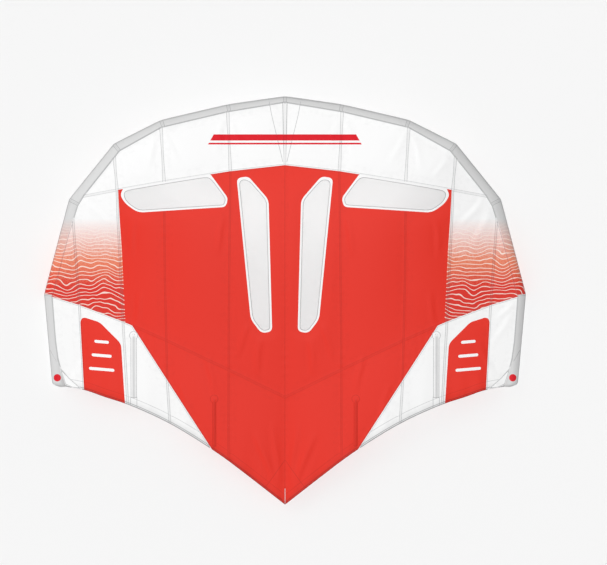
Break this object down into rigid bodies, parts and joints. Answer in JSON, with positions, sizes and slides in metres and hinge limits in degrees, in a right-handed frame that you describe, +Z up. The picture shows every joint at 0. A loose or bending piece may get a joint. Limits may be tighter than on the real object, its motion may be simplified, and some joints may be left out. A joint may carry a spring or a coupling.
{
  "type": "wingfoil wing",
  "caption": "Inflatable hand-held foiling wing: bowed leading edge tube, centre strut, red and white panelled canopy with clear windows, lying right side up.",
  "frame": {"origin": "on the surface the wing rests on, under the middle of its outline", "axes": "+X to the right wing tip seen from above with the nose up, +Y from the rear point to the nose, +Z up from the surface to the canopy's top side"},
  "size_m": [2.81, 2.3796, 0.3106],
  "materials": {
    "tube_cloth": "matt woven polyester, inflated taut",
    "white_canopy": "white ripstop with a slight sheen",
    "red_canopy": "red ripstop with a slight sheen",
    "window_film": "clear film, slightly milky",
    "grip": "dark foam grip",
    "tip_patch": "tight reinforcement cloth"
  },
  "bodies": {
    "root": {"centre_strut": "tube_cloth", "crosswise_window_left": "window_film", "crosswise_window_right": "window_film", "front_handle": "grip", "front_panel_1_left": "white_canopy", "front_panel_1_right": "white_canopy", "front_panel_2_left": "white_canopy", "front_panel_2_right": "white_canopy", "front_panel_3_left": "white_canopy", "front_panel_3_right": "white_canopy", "front_panel_4_left": "white_canopy", "front_panel_4_right": "white_canopy", "inner_pocket_left": "red_canopy", "inner_pocket_right": "red_canopy", "leading_edge_1_left": "tube_cloth", "leading_edge_1_right": "tube_cloth", "leading_edge_2_left": "tube_cloth", "leading_edge_2_right": "tube_cloth", "leading_edge_3_left": "tube_cloth", "leading_edge_3_right": "tube_cloth", "leading_edge_4_left": "tube_cloth", "leading_edge_4_right": "tube_cloth", "leading_edge_5_left": "tube_cloth", "leading_edge_5_right": "tube_cloth", "leading_edge_6_left": "tube_cloth", "leading_edge_6_right": "tube_cloth", "lengthwise_window_left": "window_film", "lengthwise_window_right": "window_film", "middle_panel_1_left": "red_canopy", "middle_panel_1_right": "red_canopy", "middle_panel_2_left": "red_canopy", "middle_panel_2_right": "red_canopy", "middle_panel_3_left": "red_canopy", "middle_panel_3_right": "red_canopy", "middle_panel_4_left": "white_canopy", "middle_panel_4_right": "white_canopy", "middle_panel_5_left": "white_canopy", "middle_panel_5_right": "white_canopy", "outer_pocket_left": "white_canopy", "outer_pocket_right": "white_canopy", "rear_handle": "grip", "rear_panel_1_left": "red_canopy", "rear_panel_1_right": "red_canopy", "rear_panel_2_red_left": "red_canopy", "rear_panel_2_red_right": "red_canopy", "rear_panel_2_white_left": "white_canopy", "rear_panel_2_white_right": "white_canopy", "rear_panel_3_red_left": "red_canopy", "rear_panel_3_red_right": "red_canopy", "rear_panel_3_white_left": "white_canopy", "rear_panel_3_white_right": "white_canopy", "rear_panel_4_left": "white_canopy", "rear_panel_4_right": "white_canopy", "rear_panel_5_left": "white_canopy", "rear_panel_5_right": "white_canopy", "tip_patch_left": "tip_patch", "tip_patch_right": "tip_patch"}
  },
  "joints": []
}
